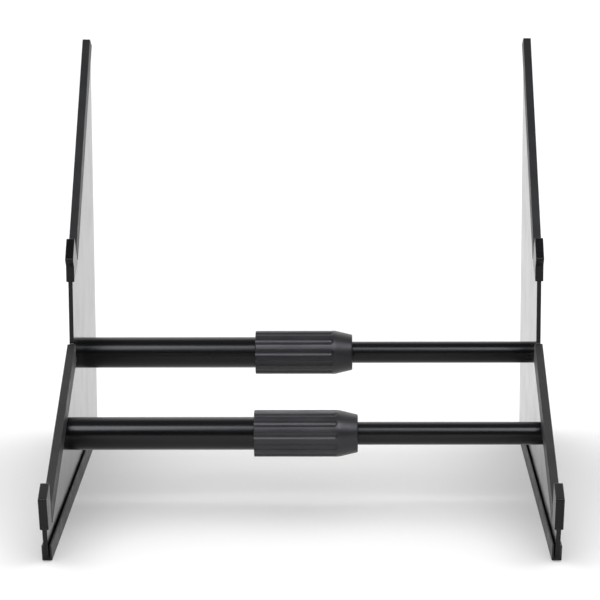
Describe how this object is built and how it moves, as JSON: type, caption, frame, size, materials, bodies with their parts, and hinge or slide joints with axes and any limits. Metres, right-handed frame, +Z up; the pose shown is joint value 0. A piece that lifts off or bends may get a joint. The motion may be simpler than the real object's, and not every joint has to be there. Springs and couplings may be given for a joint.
{
  "type": "music stand",
  "caption": "Two-tier tabletop stand: two hooked side plates with rubber edges, joined by two telescoping bars with twist-lock collars, so the width adjusts.",
  "frame": {"origin": "on the floor, in the middle of the stand's width and depth at rest", "axes": "+X along the cross bars from the wide tube to the slim tube, +Y from the front hooks to the back edge, +Z up"},
  "size_m": [0.2996, 0.3328, 0.2691],
  "materials": {
    "gloss_black_sheet": "gloss black coated steel sheet",
    "edge_rubber": "matte extruded rubber edging",
    "boot_rubber": "satin moulded rubber",
    "black_tube": "gloss black coated steel tube",
    "grip_plastic": "soft-touch fluted plastic",
    "nylon": "moulded nylon",
    "black_screw": "black oxide steel",
    "zinc_steel": "zinc plated"
  },
  "bodies": {
    "left_side": {"left_side_plate": "gloss_black_sheet", "left_lower_trim": "edge_rubber", "left_upper_trim": "edge_rubber", "left_lower_boot": "boot_rubber", "left_upper_boot": "boot_rubber", "left_base_strip": "edge_rubber", "left_plate_screws": "black_screw", "lower_outer_tube": "black_tube", "lower_outer_insert": "zinc_steel", "lower_clamp_sleeve": "nylon", "upper_outer_tube": "black_tube", "upper_outer_insert": "zinc_steel", "upper_clamp_sleeve": "nylon"},
    "right_side": {"right_side_plate": "gloss_black_sheet", "right_lower_trim": "edge_rubber", "right_upper_trim": "edge_rubber", "right_lower_boot": "boot_rubber", "right_upper_boot": "boot_rubber", "right_base_strip": "edge_rubber", "right_plate_screws": "black_screw", "lower_inner_tube": "black_tube", "lower_inner_insert": "zinc_steel", "lower_glide_bush": "nylon", "upper_inner_tube": "black_tube", "upper_inner_insert": "zinc_steel", "upper_glide_bush": "nylon"},
    "lower_collar": {"lower_grip_collar": "grip_plastic"},
    "upper_collar": {"upper_grip_collar": "grip_plastic"}
  },
  "joints": [
    {"name": "width", "type": "slide", "parent": "left_side", "child": "right_side", "axis": [1, 0, 0], "range_m": [-0.05, 0.04]},
    {"name": "lower_twist", "type": "hinge", "parent": "left_side", "child": "lower_collar", "pos_m": [0, -0.0352, 0.0467], "axis": [1, 0, 0], "range_deg": [0, 180]},
    {"name": "upper_twist", "type": "hinge", "parent": "left_side", "child": "upper_collar", "pos_m": [0, 0.0898, 0.0706], "axis": [1, 0, 0], "range_deg": [0, 180]}
  ]
}
